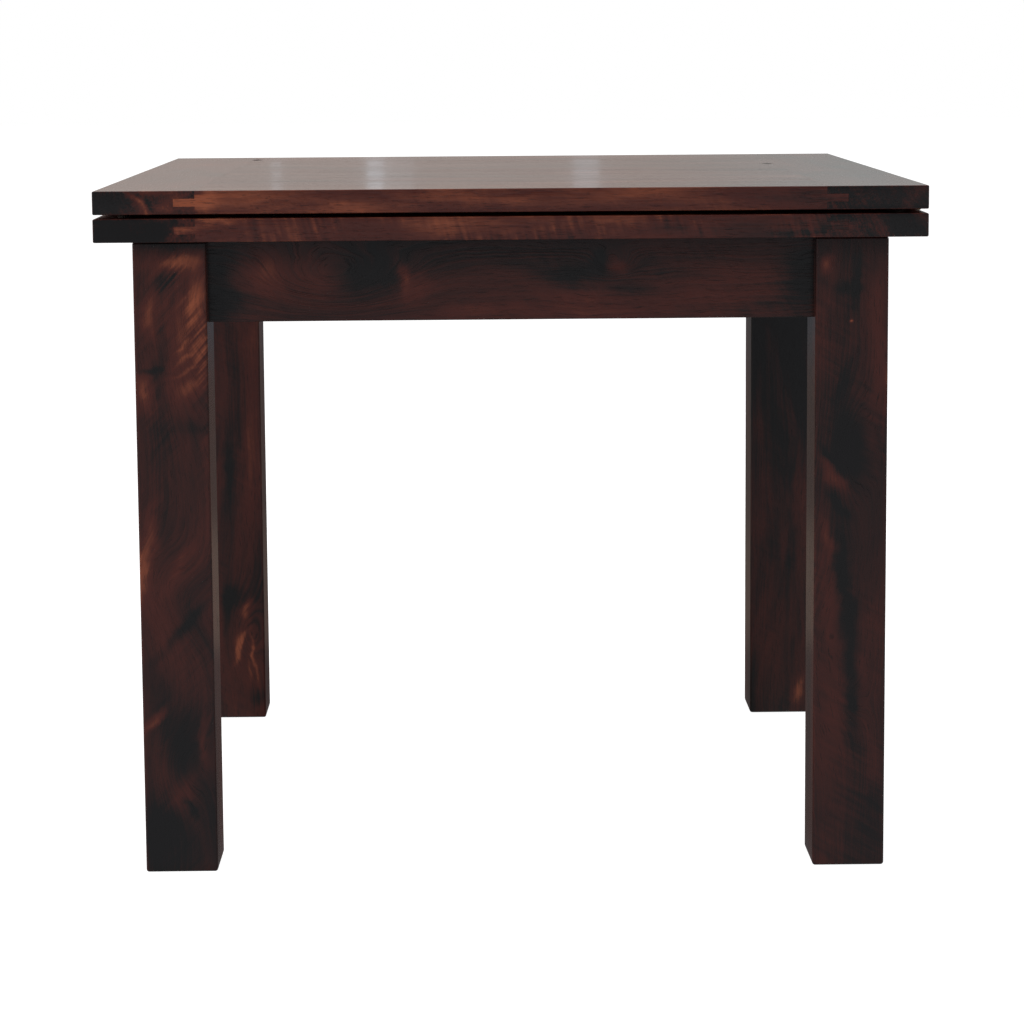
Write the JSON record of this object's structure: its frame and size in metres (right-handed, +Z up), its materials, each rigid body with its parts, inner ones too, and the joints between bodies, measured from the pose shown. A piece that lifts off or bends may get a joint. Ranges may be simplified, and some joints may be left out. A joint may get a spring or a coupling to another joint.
{
  "type": "fold-over extension table",
  "caption": "Square wooden dining table with a double top that slides sideways on guide rails and opens like a book to twice its length, on four square legs.",
  "frame": {"origin": "on the floor under the middle of the closed top", "axes": "+X to the right, towards the hinged edge; -Y to the front; +Z up"},
  "size_m": [0.9043, 0.9, 0.762],
  "materials": {
    "plank_wood": "dark walnut stain under satin lacquer",
    "cross_board_wood": "dark walnut stain under satin lacquer, end grain nearly black",
    "frame_wood": "dark walnut stain under satin lacquer",
    "inner_wood": "planed hardwood, thin oil",
    "felt": "pressed wool felt",
    "brass": "brushed brass, lightly aged",
    "zinc_steel": "zinc plated"
  },
  "bodies": {
    "base": {"corner_block_screws": "zinc_steel", "front_apron": "frame_wood", "front_felt_strip": "felt", "front_guide_rail": "inner_wood", "front_left_corner_block": "inner_wood", "front_left_leg": "frame_wood", "front_right_corner_block": "inner_wood", "front_right_leg": "frame_wood", "hanger_bolt_nuts": "zinc_steel", "hanger_bolt_washers": "zinc_steel", "hanger_bolts": "zinc_steel", "left_apron": "frame_wood", "leg_top_felts": "felt", "rear_apron": "frame_wood", "rear_felt_strip": "felt", "rear_guide_rail": "inner_wood", "rear_left_corner_block": "inner_wood", "rear_left_leg": "frame_wood", "rear_right_corner_block": "inner_wood", "rear_right_leg": "frame_wood", "right_apron": "frame_wood"},
    "lower_leaf": {"front_hinge_lower_plate": "brass", "front_hinge_pin": "zinc_steel", "front_runner": "inner_wood", "leaf_bumpers": "felt", "lower_hinge_screws": "brass", "lower_left_cross_board": "cross_board_wood", "lower_plank_1": "plank_wood", "lower_plank_2": "plank_wood", "lower_plank_3": "plank_wood", "lower_plank_4": "plank_wood", "lower_plank_5": "plank_wood", "lower_plank_6": "plank_wood", "lower_right_cross_board": "cross_board_wood", "middle_hinge_lower_plate": "brass", "middle_hinge_pin": "zinc_steel", "rear_hinge_lower_plate": "brass", "rear_hinge_pin": "zinc_steel", "rear_runner": "inner_wood", "runner_screws": "zinc_steel"},
    "upper_leaf": {"front_hinge_upper_plate": "brass", "middle_hinge_upper_plate": "brass", "rear_hinge_upper_plate": "brass", "upper_hinge_screws": "brass", "upper_left_cross_board": "cross_board_wood", "upper_plank_1": "plank_wood", "upper_plank_2": "plank_wood", "upper_plank_3": "plank_wood", "upper_plank_4": "plank_wood", "upper_plank_5": "plank_wood", "upper_plank_6": "plank_wood", "upper_right_cross_board": "cross_board_wood"}
  },
  "joints": [
    {"name": "top_slide", "type": "slide", "parent": "base", "child": "lower_leaf", "axis": [-1, 0, 0], "range_m": [0, 0.4505]},
    {"name": "leaf_fold", "type": "hinge", "parent": "lower_leaf", "child": "upper_leaf", "pos_m": [0.4505, 0, 0.73425], "axis": [0, 1, 0], "range_deg": [0, 180]}
  ]
}
